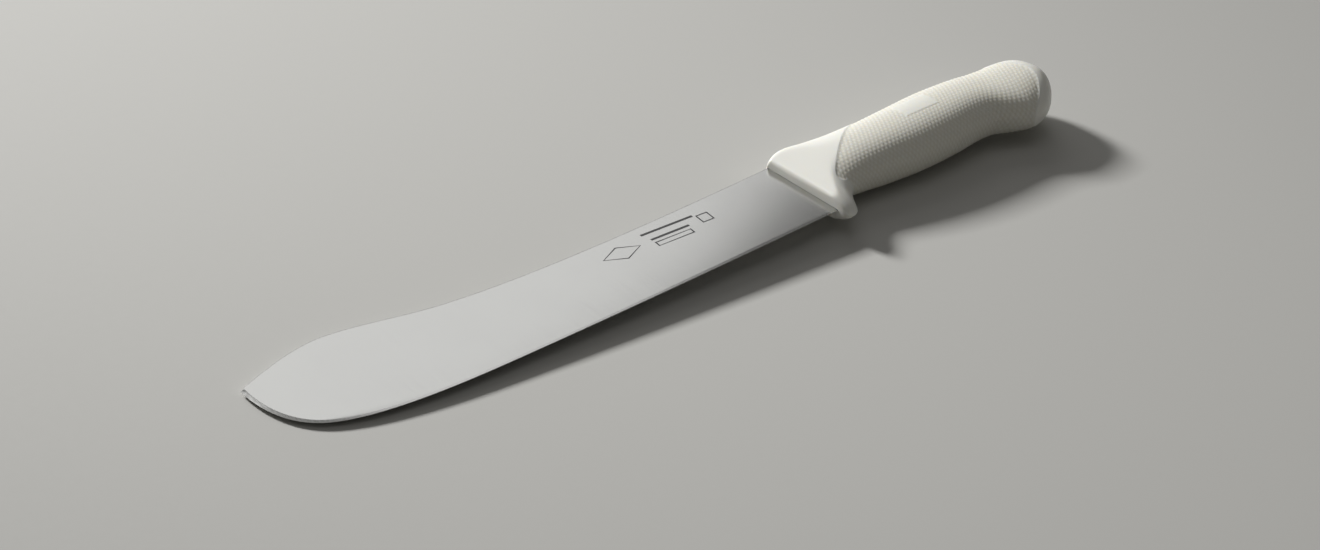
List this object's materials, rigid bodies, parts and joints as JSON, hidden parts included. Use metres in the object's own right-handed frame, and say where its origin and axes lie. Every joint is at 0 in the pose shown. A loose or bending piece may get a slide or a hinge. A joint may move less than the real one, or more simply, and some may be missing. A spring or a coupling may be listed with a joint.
{
  "type": "butcher knife",
  "caption": "Butcher knife with a long wide blade, humped near an upswept point, and a moulded handle with finger guard, textured grip and rounded butt.",
  "frame": {"origin": "middle of the guard's front, on the blade's mid-plane, where the blade enters the handle", "axes": "+X along the knife from the guard towards the butt, the blade points to -X; +Y towards the spine; +Z across the blade, out of the side that faces up when the edge points to -Y"},
  "size_m": [0.3911, 0.0568, 0.0236],
  "materials": {
    "steel": "satin polished stainless steel",
    "hard_plastic": "smooth ivory white moulded polypropylene",
    "grip_plastic": "pebbled ivory white moulded elastomer"
  },
  "bodies": {
    "root": {"blade": "steel", "handle_core": "hard_plastic", "grip_sleeve": "grip_plastic"}
  },
  "joints": []
}
